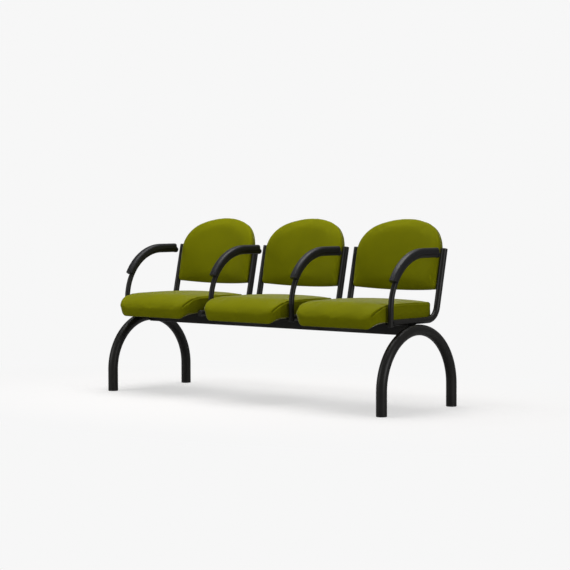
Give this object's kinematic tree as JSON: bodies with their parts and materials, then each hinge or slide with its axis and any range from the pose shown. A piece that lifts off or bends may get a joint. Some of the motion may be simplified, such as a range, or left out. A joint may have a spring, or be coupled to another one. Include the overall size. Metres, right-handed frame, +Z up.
{
  "type": "beam seating",
  "caption": "Beam seating with fabric seats, arched backs, looped armrests and a steel beam on arched tube legs",
  "frame": {"origin": "on the floor, in the middle of the bench's outline: half way along it, and half way between its foremost and its rearmost points", "axes": "+X runs along the beam towards a sitter's left hand, +Y points from the seats' fronts to their backs, +Z points up"},
  "size_m": [1.7302, 0.583, 0.8499],
  "materials": {
    "green_fabric": "flat woven upholstery fabric, matt",
    "black_frame": "satin black powder coat",
    "pad_black": "self-skinned soft moulded foam, satin",
    "cap_black": "injection moulded, fine matt",
    "zinc_steel": "zinc plated fasteners",
    "plywood": "moulded beech plywood, clear sealed"
  },
  "bodies": {
    "root": {"arm_end_caps": "pad_black", "arm_post_caps": "cap_black", "beam": "black_frame", "beam_spigot_left": "black_frame", "beam_spigot_right": "black_frame", "carrier_bolts": "zinc_steel", "foot_glide_left_front": "cap_black", "foot_glide_left_rear": "cap_black", "foot_glide_right_front": "cap_black", "foot_glide_right_rear": "cap_black", "leg_arch_left": "black_frame", "leg_arch_right": "black_frame", "rail_front_caps": "cap_black", "seat1_back_board": "plywood", "seat1_back_brackets": "black_frame", "seat1_back_cushion": "green_fabric", "seat1_back_rear_pad": "green_fabric", "seat1_back_screws": "zinc_steel", "seat1_board": "plywood", "seat1_carriers": "black_frame", "seat1_cross_straps": "black_frame", "seat1_cushion": "green_fabric", "seat1_left_arm_pad": "pad_black", "seat1_left_arm_tube": "black_frame", "seat1_left_side_tube": "black_frame", "seat1_right_side_tube": "black_frame", "seat2_back_board": "plywood", "seat2_back_brackets": "black_frame", "seat2_back_cushion": "green_fabric", "seat2_back_rear_pad": "green_fabric", "seat2_back_screws": "zinc_steel", "seat2_board": "plywood", "seat2_carriers": "black_frame", "seat2_cross_straps": "black_frame", "seat2_cushion": "green_fabric", "seat2_left_arm_pad": "pad_black", "seat2_left_arm_tube": "black_frame", "seat2_left_side_tube": "black_frame", "seat2_right_arm_pad": "pad_black", "seat2_right_arm_tube": "black_frame", "seat2_right_side_tube": "black_frame", "seat3_back_board": "plywood", "seat3_back_brackets": "black_frame", "seat3_back_cushion": "green_fabric", "seat3_back_rear_pad": "green_fabric", "seat3_back_screws": "zinc_steel", "seat3_board": "plywood", "seat3_carriers": "black_frame", "seat3_cross_straps": "black_frame", "seat3_cushion": "green_fabric", "seat3_left_side_tube": "black_frame", "seat3_right_arm_pad": "pad_black", "seat3_right_arm_tube": "black_frame", "seat3_right_side_tube": "black_frame", "seat_screws": "zinc_steel", "spigot_bolts": "zinc_steel", "upright_caps": "cap_black"}
  },
  "joints": []
}
